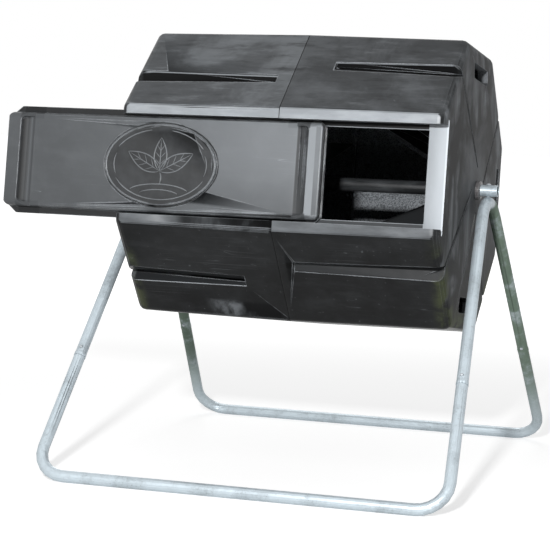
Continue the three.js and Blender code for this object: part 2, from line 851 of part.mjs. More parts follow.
// Finger scoop: a hollow that curves down from the ridge's crest and runs out in the face
function scoop(side) {
  const floor = doorFace - scoopDip;
  const steps = 7;
  const section = new THREE.Shape();
  section.moveTo(crest, ridgeTop + overrun);
  for (let step = 0; step <= steps; step += 1) {
    const angle = (quarterTurn * step) / steps;
    section.lineTo(
      crest - scoopLength * (1 - Math.cos(angle)),
      ridgeTop - (ridgeTop - floor) * Math.sin(angle),
    );
  }
  section.lineTo(crest - scoopLength - scoopRunOut, doorFace);
  section.lineTo(crest - scoopLength - scoopRunOut, ridgeTop + overrun);
  const outline = roundedRectangle(crest, scoopHalfHeight, scoopCorner);
  return bar(side, section, scoopHalfHeight)
    .intersect(plate(outline, floor - overrun, ridgeTop + 2 * overrun, 0, 4));
}

// Outline of the tongue, its four corners cut off
function tongueOutline() {
  const halfLength = doorHalfLength + tongueEndReach;
  const halfHeight = doorHalfHeight + tongueReach;
  const shape = new THREE.Shape();
  shape.moveTo(halfLength, -halfHeight + tongueCornerHeight);
  shape.lineTo(halfLength, halfHeight - tongueCornerHeight);
  shape.lineTo(halfLength - tongueCornerLength, halfHeight);
  shape.lineTo(-halfLength + tongueCornerLength, halfHeight);
  shape.lineTo(-halfLength, halfHeight - tongueCornerHeight);
  shape.lineTo(-halfLength, -halfHeight + tongueCornerHeight);
  shape.lineTo(-halfLength + tongueCornerLength, -halfHeight);
  shape.lineTo(halfLength - tongueCornerLength, -halfHeight);
  return shape;
}

function medallionOutline(reach) {
  return ellipse(medallionHalfLength + reach, medallionHalfHeight + reach);
}

function door() {
  const panelOutline = roundedRectangle(doorHalfLength, doorHalfHeight, doorCorner);
  const pocketOutline = roundedRectangle(
    doorHalfLength - doorWall,
    doorHalfHeight - doorWall,
    doorCorner - doorWall,
  );
  const medallionTop = doorFace + medallionRise;
  const moat = plate(medallionOutline(moatWidth), doorFace - moatDepth, medallionTop + overrun, 0, 20);
  const medallion = plate(medallionOutline(0), doorFace - doorWall, medallionTop, medallionEdge, 20);
  const field = plate(medallionOutline(-beadWidth), medallionTop - beadHeight, medallionTop + overrun, 0, 20);
  const hollow = plate(medallionOutline(-doorWall), doorBack, medallionTop - beadHeight - doorWall, 0, 12);
  const pocket = plate(pocketOutline, doorBack - overrun, doorFace - doorWall, 0, 3);
  return plate(panelOutline, panelBack, doorFace, doorEdge, 4)
    .add(joined([endRidge(-1), endRidge(1)]))
    .subtract(joined([scoop(-1), scoop(1)]))
    .subtract(moat)
    .add(medallion)
    .subtract(field)
    .add(plate(tongueOutline(), doorBack, doorBack + tongueThickness, 0, 1))
    .subtract(pocket)
    .subtract(hollow);
}

// ------------------------------------------------------------ assembly

const stand = new THREE.Group();
const sides = [[-1, 'left'], [1, 'right']];
const ends = [[-1, 'front'], [1, 'rear']];
ends.forEach(([end, endName]) => {
  stand.add(piece(`base_frame_${endName}`, baseFrame(end), steel));
});
sides.forEach(([side, sideName]) => {
  stand.add(piece(`leg_arch_${sideName}`, legArch(side), steel));
  stand.add(piece(`axle_bolt_${sideName}`, axleBolt(side), zinc));
  stand.add(piece(`axle_nut_${sideName}`, axleNut(side), zinc));
  ends.forEach(([end, endName]) => {
    stand.add(piece(`leg_button_${endName}_${sideName}`, snapButton(side, end), zinc));
  });
});
stand.add(piece('axle_tube', axleTube(), steel));

const drum = new THREE.Group();
const rightHalf = piece('drum_half_right', drumHalf(), drumPlastic);
const leftHalf = rightHalf.clone();
leftHalf.name = 'drum_half_left';
leftHalf.material = rightHalf.material.clone();
leftHalf.rotation.y = Math.PI;
drum.add(rightHalf, leftHalf);
sides.forEach(([side, sideName]) => {
  drum.add(piece(`hub_bush_${sideName}`, hubBush(side), bushPlastic));
});
drum.add(piece('axle_sleeve', axleSleeve(), bushPlastic));
seamBoltSides.forEach((eighths) => {
  drum.add(piece(`seam_bolt_${eighths}`, seamBolt(eighths), zinc));
  drum.add(piece(`seam_nut_${eighths}`, seamNut(eighths), zinc));
});
const doorPiece = piece('door', door(), doorPlastic);
doorPiece.position.x = doorShift;
drum.add(doorPiece);
drum.position.z = axleHeight;
drum.rotation.x = -drumTilt;

// The whole stands on the floor with its box centred on the origin
const tumbler = new THREE.Group();
tumbler.add(stand, drum);
tumbler.updateMatrixWorld(true);
const bounds = new THREE.Box3().setFromObject(tumbler, true);
tumbler.position.set(-bounds.getCenter(new THREE.Vector3()).x, 0, -bounds.min.z);

const group = new THREE.Group();
group.name = 'compost_tumbler';
group.add(tumbler);
group.updateMatrixWorld(true);

export default group;
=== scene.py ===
"""Looks for the compost tumbler: finishes, a raised leaf emblem, studio and camera.

Metres, +Z up, front towards -Y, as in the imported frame.
"""

import json
import math

import bmesh
import bpy
from mathutils import Matrix, Vector


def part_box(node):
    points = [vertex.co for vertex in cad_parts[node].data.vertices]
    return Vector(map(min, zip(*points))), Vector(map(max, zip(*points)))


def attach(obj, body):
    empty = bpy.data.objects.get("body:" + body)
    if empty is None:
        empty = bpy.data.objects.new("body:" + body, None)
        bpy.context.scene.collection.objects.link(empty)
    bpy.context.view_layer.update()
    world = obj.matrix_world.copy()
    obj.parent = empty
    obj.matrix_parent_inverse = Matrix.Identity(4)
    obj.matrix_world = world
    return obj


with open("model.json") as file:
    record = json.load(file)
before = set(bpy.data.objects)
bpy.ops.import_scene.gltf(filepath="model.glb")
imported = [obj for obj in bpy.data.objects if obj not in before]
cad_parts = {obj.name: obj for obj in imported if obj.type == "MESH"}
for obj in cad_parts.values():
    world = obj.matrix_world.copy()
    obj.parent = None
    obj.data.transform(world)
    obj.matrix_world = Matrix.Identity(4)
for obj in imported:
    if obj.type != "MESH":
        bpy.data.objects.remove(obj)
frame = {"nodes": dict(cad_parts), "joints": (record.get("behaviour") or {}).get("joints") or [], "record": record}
NODES = frame["nodes"]
JOINTS = {j["name"]: j for j in frame["joints"]}
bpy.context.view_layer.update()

AXLE = Vector(JOINTS["drum_spin"]["pos_m"])

# Sizes that the finishes follow, in the drum's own frame: lengths from mid length, heights and
# faces from the axle.
TILT = math.radians(6.9)  # door side of the drum turned up from level
APOTHEM = 0.3145  # axle to a flat side, at mid length
TAPER = 0.0098  # by which the sides close in, per metre along the axle
RIM = 0.3585  # mid length to an end wall
SEAM_HALF_GAP = 0.0004
CHANNEL_FLOOR = 0.278
OPENING_HALF_LENGTH = 0.318
OPENING_HALF_HEIGHT = 0.098
GROOVE_OFFSET = 0.033  # middle of a side to the slit of its groove
DOOR_FACE = 0.297
OVAL_FACE = 0.3026  # axle to the oval's field, square to the door
OVAL_HALF_LENGTH = 0.1275
OVAL_HALF_HEIGHT = 0.0885

# The door's finger scoops as painted, from the door's middle.
SCOOP_INNER = 0.296
SCOOP_OUTER = 0.329
SCOOP_HALF_HEIGHT = 0.0935

# Colours, as linear red, green and blue.
MOSS = (0.05, 0.058, 0.028)
GRIME = (0.13, 0.14, 0.14)
# painted green reflection and shade for the rear legs
GREEN_REFLECTION_TONE = (0.115, 0.165, 0.115)
TUBE_TONE = (0.5, 0.57, 0.615)
ZINC_TONE = (0.5, 0.54, 0.57)


# ------------------------------------------------------------ node trees


class Tree:
    """Short-hand for building one material's node tree."""

    def __init__(self, name):
        self.material = bpy.data.materials.new(name)
        self.material.use_nodes = True
        self.nodes = self.material.node_tree.nodes
        self.links = self.material.node_tree.links
        self.shader = self.nodes["Principled BSDF"]
        coordinates = self.add("ShaderNodeTexCoord")
        self.place = coordinates.outputs["Object"]
        self.facing = coordinates.outputs["Normal"]

    def add(self, kind, **settings):
        node = self.nodes.new(kind)
        for key, value in settings.items():
            setattr(node, key, value)
        return node

    def feed(self, socket, value):
        if isinstance(value, bpy.types.NodeSocket):
            self.links.new(value, socket)
        else:
            socket.default_value = value

    def mapped(self, scale, turn=(0, 0, 0), shift=(0, 0, 0)):
        node = self.add("ShaderNodeMapping")
        self.feed(node.inputs["Vector"], self.place)
        node.inputs["Location"].default_value = shift
        node.inputs["Rotation"].default_value = turn
        node.inputs["Scale"].default_value = scale
        return node.outputs["Vector"]

    def split(self, vector):
        node = self.add("ShaderNodeSeparateXYZ")
        self.feed(node.inputs[0], vector)
        return node.outputs

    def noise(self, scale, detail=4.0, roughness=0.55, vector=None, distortion=0.0):
        node = self.add("ShaderNodeTexNoise")
        self.feed(node.inputs["Vector"], vector or self.place)
        node.inputs["Scale"].default_value = scale
        node.inputs["Detail"].default_value = detail
        node.inputs["Roughness"].default_value = roughness
        node.inputs["Distortion"].default_value = distortion
        return node.outputs["Fac"]

    def flakes(self, scale):
        """Cells that each have one level between 0 and 1."""
        cells = self.add("ShaderNodeTexVoronoi")
        self.feed(cells.inputs["Vector"], self.place)
        cells.inputs["Scale"].default_value = scale
        colour = self.add("ShaderNodeSeparateColor")
        self.feed(colour.inputs["Color"], cells.outputs["Color"])
        return colour.outputs["Red"]

    def math(self, operation, a, b=0.0):
        node = self.add("ShaderNodeMath", operation=operation)
        self.feed(node.inputs[0], a)
        self.feed(node.inputs[1], b)
        return node.outputs[0]

    def product(self, first, *others):
        for other in others:
            first = self.math("MULTIPLY", first, other)
        return first

    def smooth_step(self, value, low, high):
        """0 up to low, 1 from high on, eased between. Where low is the larger, it falls."""
        node = self.add("ShaderNodeMapRange", interpolation_type="SMOOTHSTEP")
        self.feed(node.inputs["Value"], value)
        node.inputs["From Min"].default_value = min(low, high)
        node.inputs["From Max"].default_value = max(low, high)
        rising = low < high
        node.inputs["To Min"].default_value = 0.0 if rising else 1.0
        node.inputs["To Max"].default_value = 1.0 if rising else 0.0
        return node.outputs["Result"]

    def band(self, value, low, high, soft):
        """1 between low and high, easing over soft at either side of both."""
        return self.product(
            self.smooth_step(value, low - soft, low + soft),
            self.smooth_step(value, high + soft, high - soft),
        )

    def dot(self, vector, direction):
        node = self.add("ShaderNodeVectorMath", operation="DOT_PRODUCT")
        self.feed(node.inputs[0], vector)
        self.feed(node.inputs[1], direction)
        return node.outputs["Value"]

    def mix(self, factor, a, b, blend="MIX"):
        node = self.add("ShaderNodeMix", data_type="RGBA", blend_type=blend)
        self.feed(node.inputs["Factor"], factor)
        for socket, value in ((node.inputs["A"], a), (node.inputs["B"], b)):
            self.feed(socket, value if isinstance(value, bpy.types.NodeSocket) else (*value, 1))
        return node.outputs["Result"]

    def lines(self, scale, width, vector):
        """Thin wandering lines: where a noise crosses its middle value."""
        value = self.noise(scale, detail=2.0, roughness=0.4, vector=vector)
        away = self.math("ABSOLUTE", self.math("SUBTRACT", value, 0.5))
        return self.smooth_step(away, width, 0.0)

    def bump(self, height, strength, distance, normal=None):
        node = self.add("ShaderNodeBump")
        self.feed(node.inputs["Height"], height)
        node.inputs["Strength"].default_value = strength
        node.inputs["Distance"].default_value = distance
        if normal is not None:
            self.feed(node.inputs["Normal"], normal)
        return node.outputs["Normal"]

    def rounded(self, radius):
        """The surface's normal, as if its edges were rounded to radius."""
        node = self.add("ShaderNodeBevel", samples=6)
        node.inputs["Radius"].default_value = radius
        return node.outputs["Normal"]

    def edges(self, soft_normal):
        """0 on flat faces, 1 on the edges that soft_normal rounds."""
        sharp = self.add("ShaderNodeNewGeometry").outputs["Normal"]
        return self.smooth_step(self.dot(soft_normal, sharp), 0.999, 0.93)

    def finish(self, colour, roughness, metallic=0.0, normal=None, **sockets):
        self.feed(self.shader.inputs["Base Color"], colour)
        self.feed(self.shader.inputs["Roughness"], roughness)
        self.shader.inputs["Metallic"].default_value = metallic
        if normal is not None:
            self.feed(self.shader.inputs["Normal"], normal)
        for name, value in sockets.items():
            self.shader.inputs[name.replace("_", " ")].default_value = value
        return self.material


def grey(level, blue=1.14):
    """A slightly cool grey."""
    return (level, level * (1 + (blue - 1) / 2), level * blue)


class Plastic(Tree):
    """Rotomoulded polyethylene: cloudy bloom, rubbed streaks, fine scratches and worn edges.

    Places are measured in the drum's own frame: x along the axle from mid length, y back
    from the axle, z up, with the door's side square to y.
    """

    def __init__(self, name, shade):
        super().__init__(name)
        shift = Matrix.Rotation(TILT, 3, "X") @ AXLE
        self.x, self.y, self.z = self.split(self.mapped((1, 1, 1), turn=(TILT, 0, 0), shift=-shift))
        self.up = self.dot(self.facing, (0, math.sin(TILT), math.cos(TILT)))
        self.front = self.dot(self.facing, (0, -math.cos(TILT), math.sin(TILT)))
        self.cloud = self.noise(4.2, detail=5, roughness=0.55, distortion=0.4)
        self.blotch = self.noise(17, detail=6, roughness=0.62, distortion=0.3)
        self.streak = self.noise(30, detail=5, roughness=0.6, vector=self.mapped((0.3, 1, 1)))
        self.colour = grey(shade)
        self.rough = self.math("ADD", self.product(self.blotch, 0.16), 0.24)
        self.soft = self.rounded(0.0028)

    def paint(self, mask, shade):
        self.colour = self.mix(mask, self.colour, grey(shade))

    def whiten(self, mask, amount):
        factor = self.product(mask, amount)
        self.colour = self.mix(factor, self.colour, grey(1.0), blend="SCREEN")

    def polish(self, mask, roughness):
        node = self.add("ShaderNodeMix", data_type="FLOAT")
        self.feed(node.inputs["Factor"], mask)
        self.feed(node.inputs["A"], self.rough)
        self.feed(node.inputs["B"], roughness)
        self.rough = node.outputs["Result"]

    def weather(self, bloom, rub):
        """Lightens the colour in clouds, blotches and brushed streaks."""
        self.whiten(self.smooth_step(self.cloud, 0.35, 0.7), bloom)
        self.whiten(self.smooth_step(self.blotch, 0.42, 0.75), 0.8 * bloom)
        self.whiten(self.smooth_step(self.streak, 0.46, 0.78), rub)

    def scratch(self, amount, turn):
        """Long fine scratches, broken up by a slower noise."""
        fine = self.lines(1.2, 0.003, self.mapped((1.0, 40.0, 40.0), turn=turn))
        parts = self.smooth_step(self.noise(9, detail=2), 0.52, 0.66)
        self.whiten(self.product(fine, parts), amount)

    def close(self, edge, grain=1.0, **sockets):
        """Pale worn edges and a fine grain, then the material itself."""
        worn = self.product(self.edges(self.soft), self.smooth_step(self.blotch, 0.3, 0.6))
        self.whiten(worn, edge)
        waves, grains = self.noise(38, detail=3, roughness=0.5), self.noise(850, detail=2)
        normal = self.bump(waves, strength=0.10, distance=0.004, normal=self.soft)
        normal = self.bump(grains, strength=0.14 * grain, distance=0.0006, normal=normal)
        return self.finish(self.colour, self.rough, normal=normal, **sockets)


# ------------------------------------------------------------------ drum


class DrumPlastic(Plastic):
    """The drum's plastic, with the masks that tell its surfaces apart."""

    def __init__(self, name):
        super().__init__(name, 0.005)
        self.across = self.math("ABSOLUTE", self.x)
        self.level = self.math("ABSOLUTE", self.z)
        depth = self.math("ABSOLUTE", self.y)
        slope = math.sqrt(0.5)
        diagonal = self.product(self.math("ADD", depth, self.level), slope)
        self.side = self.math("MAXIMUM", self.math("MAXIMUM", depth, self.level), diagonal)
        hull = self.math("SUBTRACT", APOTHEM, self.product(self.across, TAPER))
        self.sunk = self.math("SUBTRACT", hull, self.side)
        self.slant = self.product(self.math("SUBTRACT", depth, self.level), slope)
        self.off_middle = self.math("ABSOLUTE", self.slant)
        self.hanging = self.noise(
            24, detail=6, roughness=0.6, vector=self.mapped((1, 1, 0.16)), distortion=0.3
        )

        outward = self.math(
            "SUBTRACT", self.product(self.up, self.z), self.product(self.front, self.y)
        )
        self.inside = self.smooth_step(outward, -0.05, -0.09)
        sideways = self.math("ABSOLUTE", self.dot(self.facing, (1, 0, 0)))
        self.end_wall = self.smooth_step(sideways, 0.6, 0.85)
        self.facing_front = self.smooth_step(self.front, 0.8, 0.95)
        self.upper = self.smooth_step(self.z, -0.01, 0.01)
        self.lower = self.smooth_step(self.z, 0.01, -0.01)


def bleaching_and_top_light(p, bloom):
    """Upper faces paler: bleached by the sun in patches and brushed streaks, and a painted top light that lightens
    every face the more it turns up.
    """
    # painted top light: lighter the more a face turns up
    p.paint(p.smooth_step(p.up, -0.2, 0.8), bloom)
    sunned = p.smooth_step(p.up, 0.1, 0.6)
    patches = p.smooth_step(p.noise(5.5, detail=6, roughness=0.6, distortion=0.5), 0.44, 0.62)
    p.paint(p.product(patches, sunned), 1.9 * bloom)
    brushing = p.noise(46, detail=5, roughness=0.65, vector=p.mapped((0.22, 1, 1)))
    p.paint(p.product(p.smooth_step(brushing, 0.5, 0.8), sunned), 2.6 * bloom)
    p.paint(p.product(p.smooth_step(brushing, 0.5, 0.2), sunned), 0.4 * bloom)
    p.weather(0.007, 0.008)


def dust_end_walls(p):
    """End walls dark and dull, with pale dust in hanging streaks, and pale clouds on their upper part that are
    partly dust and partly painted top light.
    """
    p.paint(p.end_wall, 0.006)
    p.polish(p.end_wall, 0.6)
    p.polish(p.smooth_step(p.up, 0.75, 0.95), 0.7)
    dusty = p.smooth_step(p.noise(6.5, detail=4, distortion=0.6), 0.44, 0.6)
    p.paint(p.product(p.end_wall, p.smooth_step(p.hanging, 0.36, 0.7), dusty), 0.2)
    cloudy = p.smooth_step(p.cloud, 0.42, 0.65)
    # pale clouds on the end wall's upper part: partly dust, partly painted top light
    p.paint(p.product(p.end_wall, cloudy, p.smooth_step(p.z, -0.25, 0.15)), 0.13)


def moss_and_scuffs(p):
    """A little green near the lower rims, fine scratches, and small pale scuffs."""
    by_rim = p.product(p.smooth_step(p.across, 0.32, 0.35), p.smooth_step(p.side, 0.26, 0.3))
    mossy = p.product(by_rim, p.lower, p.smooth_step(p.blotch, 0.4, 0.62))
    p.colour = p.mix(p.product(mossy, p.smooth_step(p.z, -0.12, -0.2)), p.colour, MOSS)
    p.scratch(0.045, (0, 0.05, 0.12))
    p.scratch(0.045, (0.3, 0.9, 0.2))
    specks = p.smooth_step(p.noise(120, detail=3, roughness=0.5), 0.66, 0.74)
    p.paint(p.product(specks, p.smooth_step(p.blotch, 0.45, 0.6), 0.5), 0.1)


def strips_beside_door(p):
    """The flat strips above and below the channel, painted pale: partly rubbed by hands and the door, partly
    painted sheen; the upper strip paler than the lower.
    """
    flush = p.band(p.sunk, -0.01, 0.0012, 0.0004)
    foremost = p.smooth_step(p.y, 0.0105 - APOTHEM, 0.0055 - APOTHEM)
    strip = p.product(flush, foremost, p.facing_front)
    brushed = p.smooth_step(p.streak, 0.35, 0.7)
    # strips painted pale: partly rubbed wear, partly painted sheen; the lower strip darker than the upper
    for half, shade, brushed_shade in ((p.upper, 0.26, 0.35), (p.lower, 0.09, 0.15)):
        p.paint(p.product(strip, half), shade)
        p.paint(p.product(strip, half, brushed), brushed_shade)


def channel_ledge(p):
    """The channel's floor round the opening: a painted shadow under its upper lip, a painted lit line at the
    opening's edge, and, beyond the opening's ends, paler rub with a painted highlight that brightens towards the
    rim."""
    floor_level = p.band(p.y, -CHANNEL_FLOOR - 0.004, -CHANNEL_FLOOR + 0.004, 0.002)
    ledge = p.product(floor_level, p.facing_front)
    p.paint(ledge, 0.05)
    # painted shadow of the upper lip on the floor above the opening
    lip_shadow = p.smooth_step(p.z, OPENING_HALF_HEIGHT + 0.0015, OPENING_HALF_HEIGHT + 0.0025)
    p.paint(p.product(ledge, lip_shadow), 0.004)
    # painted lit line along the opening's upper and lower edges
    painted_lit_edge = p.band(p.level, OPENING_HALF_HEIGHT - 0.003, OPENING_HALF_HEIGHT + 0.0015, 0.0003)
    p.paint(p.product(ledge, painted_lit_edge), 0.22)

    beyond = p.smooth_step(p.across, OPENING_HALF_LENGTH - 0.0015, OPENING_HALF_LENGTH - 0.0002)
    end_strip = p.product(ledge, beyond)
    towards_rim = p.smooth_step(p.across, OPENING_HALF_LENGTH + 0.001, RIM - 0.0025)
    streaks = p.smooth_step(p.hanging, 0.3, 0.7)
    # paler rub plus a painted highlight that brightens towards the rim
    rubbed = p.math("ADD", p.product(towards_rim, 0.75), p.product(streaks, 0.25))
    p.paint(end_strip, 0.3)
    p.paint(p.product(end_strip, rubbed), 0.46)
    # painted highlight along the strip's end by the rim
    p.paint(p.product(end_strip, p.smooth_step(p.across, RIM - 0.004, RIM - 0.002)), 0.6)


def grooves(p):
    """Grooves of the slanted sides with painted shade inside and lips that are partly worn and partly painted
    highlight, and the dark seam between the halves.
    """
    beside = p.product(
        p.smooth_step(p.off_middle, 0.068, 0.062), p.smooth_step(p.across, 0.345, 0.335)
    )
    groove_shade = p.product(
        p.smooth_step(p.sunk, 0.0012, 0.0026),
        p.smooth_step(p.off_middle, 0.064, 0.06),
        p.smooth_step(p.across, 0.352, 0.345),
    )
    # painted shade inside the grooves, darkest in the upper ones
    p.paint(groove_shade, 0.02)
    p.paint(p.product(groove_shade, p.upper), 0.004)
    p.polish(p.product(groove_shade, p.upper), 0.8)
    clear_of_seam = p.smooth_step(p.across, 0.03, 0.04)
    worn = p.smooth_step(p.blotch, 0.25, 0.5)
    # pale lips: partly wear, partly painted highlight
    p.paint(p.product(p.edges(p.soft), beside, clear_of_seam, worn), 0.3)
    # painted highlight along the upper grooves' lips
    p.paint(p.product(p.band(p.sunk, 0.0016, 0.0034, 0.0003), beside, p.upper), 0.2)
    p.paint(p.smooth_step(p.across, 3 * SEAM_HALF_GAP, SEAM_HALF_GAP), 0.003)


def end_wall_slits(p):
    """Painted shade along the grooves' slits, where they run out over the end wall, all turned the same way round
    it.
    """
    quarter = p.math("SIGN", p.product(p.y, p.z))
    turning = p.product(quarter, p.math("SIGN", p.x))
    half_width = 0.0075
    slit = p.band(
        p.product(p.slant, turning), GROOVE_OFFSET - half_width, GROOVE_OFFSET + half_width, 0.0015
    )
    # painted shade along the slits on the end wall
    p.paint(p.product(p.end_wall, slit, p.smooth_step(p.side, 0.07, 0.09)), 0.0015)


def granular_inside(p):
    """Inner walls pale, dull and speckled."""
    p.paint(p.inside, 0.22)
    grit = p.smooth_step(p.noise(330, detail=3, roughness=0.6), 0.42, 0.6)
    p.paint(p.product(p.inside, grit), 0.08)
    p.polish(p.inside, 0.85)


def drum_finish(name, bloom):
    """Upper faces partly bleached and partly painted with top light, lower ones dark, end walls streaked, painted
    shade in the grooves inside lips that are partly worn and partly painted highlight.
    """
    p = DrumPlastic(name)
    bleaching_and_top_light(p, bloom)
    dust_end_walls(p)
    moss_and_scuffs(p)
    strips_beside_door(p)
    channel_ledge(p)
    grooves(p)
    end_wall_slits(p)
    granular_inside(p)
    wear = p.product(p.smooth_step(p.across, 0.003, 0.008), 0.12)
    return p.close(wear, Specular_IOR_Level=0.13)


# ------------------------------------------------------------------ door


def medallion(p, from_middle, behind):
    """The oval's dark field, a painted highlight on its bead and painted shade in the moat round it."""
    along = p.math("DIVIDE", from_middle, OVAL_HALF_LENGTH)
    up = p.math("DIVIDE", p.z, OVAL_HALF_HEIGHT)
    reach = p.math("SQRT", p.math("ADD", p.product(along, along), p.product(up, up)))
    outer_face = p.smooth_step(behind, 0.007, 0.003)
    field = p.product(outer_face, p.band(reach, 0.0, 0.962, 0.004))
    p.paint(field, 0.018)
    p.paint(p.product(field, p.smooth_step(p.blotch, 0.4, 0.7)), 0.036)
    # painted shade in the moat round the oval
    p.paint(p.product(outer_face, p.band(reach, 1.003, 1.04, 0.004)), 0.01)
    # painted highlight on the oval's bead
    p.paint(p.product(outer_face, p.band(reach, 0.968, 0.992, 0.004)), 0.08)
    return field


def scoops(p, from_middle, behind):
    """Finger scoops with painted shade at the left one's outer end and in the right one, a painted glint in the
    left one, a painted highlight on the right ridge's flank, and painted shade on the flat strips above and below
    the scoops where they stand proud of the door's face."""
    off_middle = p.math("ABSOLUTE", from_middle)
    scoop_height = p.band(p.z, -SCOOP_HALF_HEIGHT, SCOOP_HALF_HEIGHT, 0.001)
    scooped = p.product(p.band(off_middle, SCOOP_INNER, SCOOP_OUTER, 0.001), scoop_height)
    p.polish(scooped, 0.6)
    # painted shade at the left scoop's outer end
    p.paint(p.product(scooped, p.smooth_step(from_middle, -0.308, -0.326)), 0.01)
    # painted glint in the left scoop's middle
    p.paint(p.product(scooped, p.band(from_middle, -0.311, -0.306, 0.005)), 0.1)
    # painted shade in the right scoop
    p.paint(p.product(scooped, p.smooth_step(from_middle, 0.3, 0.32)), 0.03)
    # painted highlight on the right ridge's flank
    p.paint(p.product(p.band(from_middle, 0.3308, 0.346, 0.0008), scoop_height), 0.23)

    near_ends = p.band(off_middle, 0.28, 0.332, 0.002)
    beside_scoops = p.product(near_ends, p.smooth_step(p.math("ABSOLUTE", p.z), 0.088, 0.092))
    # painted shade on the strips beside the scoops, where they stand proud of the door's face
    p.paint(p.product(beside_scoops, p.smooth_step(behind, 0.0002, -0.0006)), 0.05)
    p.polish(beside_scoops, 0.85)
    return beside_scoops


def door_finish(centre):
    """Greyer and smoother than the drum, with a painted highlight that pales it to the right, painted shade
    towards the bottom, in its hollows and behind its face, and a dark oval.
    """
    p = Plastic("door_plastic", 0.066)
    from_middle = p.math("SUBTRACT", p.x, centre)
    behind = p.math("ADD", p.y, DOOR_FACE)  # how far back from the door's face
    # painted highlight: paler towards the right
    p.paint(p.smooth_step(p.x, -0.5, 0.02), 0.15)
    # painted shade: darker towards the bottom
    p.paint(p.product(p.smooth_step(p.z, 0.03, -0.1), 0.5), 0.04)
    p.weather(0.012, 0.012)
    p.scratch(0.1, (0, 0.03, 0))
    # painted shade on faces a few millimetres behind the door's face
    p.paint(p.band(behind, 0.0004, 0.0045, 0.0003), 0.035)
    # painted shade on everything further behind the face
    p.paint(p.smooth_step(behind, 0.0035, 0.006), 0.012)
    field = medallion(p, from_middle, behind)
    beside_scoops = scoops(p, from_middle, behind)
    p.polish(field, 0.6)
    wear = p.math("ADD", p.product(beside_scoops, -0.2), 0.22)
    return p.close(wear, 0.8, Specular_IOR_Level=0.32)


# ---------------------------------------------------- small parts and metal


def trim_finish(name, shade, tint=(1.0, 1.0, 1.0), rub=0.03):
    """A small moulded piece of one colour, cloudy and rubbed."""
    p = Plastic(name, shade)
    tinted = tuple(c * t for c, t in zip(grey(shade), tint))
    p.colour = p.mix(p.smooth_step(p.cloud, 0.2, 0.7), grey(0.7 * shade), tinted)
    p.weather(0.01, rub)
    return p.close(0.12, Specular_IOR_Level=0.4)


def galvanised(name, tone, rear_green_tint=True):
    """Zinc-coated tube: pale blue-grey, with soft spangle, dull patches, dark specks and, on the stand's tube, a
    painted green reflection and painted shade that fade down the rear legs."""
    t = Tree(name)
    flake = t.flakes(150)
    patch = t.noise(11, detail=6, roughness=0.65)
    specks = t.noise(230, detail=4, roughness=0.65)
    dull = tuple(0.72 * c for c in tone)
    bright = tuple(min(1.0, 1.1 * c) for c in tone)
    colour = t.mix(t.smooth_step(patch, 0.34, 0.56), dull, tone)
    colour = t.mix(t.product(flake, 0.4), colour, bright)
    dirty = t.product(t.smooth_step(specks, 0.56, 0.66), t.smooth_step(patch, 0.6, 0.42))
    colour = t.mix(t.product(dirty, 0.35), colour, GRIME)
    rough = t.math("ADD", t.product(patch, 0.2), 0.24)
    rough = t.math("ADD", rough, t.product(flake, 0.1))
    if rear_green_tint:
        _, y, z = t.split(t.place)
        patchy = t.smooth_step(t.noise(22, detail=5, roughness=0.7), 0.2, 0.55)
        # painted green reflection and painted shade on the rear legs, fading downwards
        green_reflection = t.product(t.smooth_step(y, 0.004, 0.03), t.smooth_step(z, -0.01, 0.22), patchy)
        colour = t.mix(t.product(green_reflection, 0.92), colour, GREEN_REFLECTION_TONE)
        rough = t.math("ADD", rough, t.product(green_reflection, 0.3))
    normal = t.bump(patch, strength=0.1, distance=0.002)
    normal = t.bump(specks, strength=0.14, distance=0.0005, normal=normal)
    return t.finish(colour, rough, metallic=0.4, normal=normal, Specular_IOR_Level=0.3)


DRUM_LEFT = drum_finish("drum_plastic_left", bloom=0.058)
DRUM_RIGHT = drum_finish("drum_plastic_right", bloom=0.034)
DOOR_MIDDLE = (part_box("door")[0].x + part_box("door")[1].x) / 2 - AXLE.x
DOOR = door_finish(DOOR_MIDDLE)
EMBLEM = trim_finish("door_plastic_emblem", 0.15)
BUSH = trim_finish("bush_plastic", 0.06, tint=(1.15, 1.0, 0.95))
SLEEVE = trim_finish("sleeve_plastic", 0.006, rub=0.035)
TUBE = galvanised("galvanised_tube", TUBE_TONE)
ZINC = galvanised("zinc_fastener", ZINC_TONE, rear_green_tint=False)

BY_SLOT = {
    "drum_plastic": DRUM_RIGHT,
    "door_plastic": DOOR,
    "bush_plastic": BUSH,
    "galvanised_tube": TUBE,
    "zinc_fastener": ZINC,
}
SLOT_OF = {s["node"]: s["material_slot"] for s in frame["record"]["subparts"]}
for node_name, node in NODES.items():
    node.data.materials.clear()
    node.data.materials.append(BY_SLOT[SLOT_OF[node_name]])
NODES["drum_half_left"].data.materials[0] = DRUM_LEFT
NODES["axle_sleeve"].data.materials[0] = SLEEVE


# --------------------------------------------------------------- shading


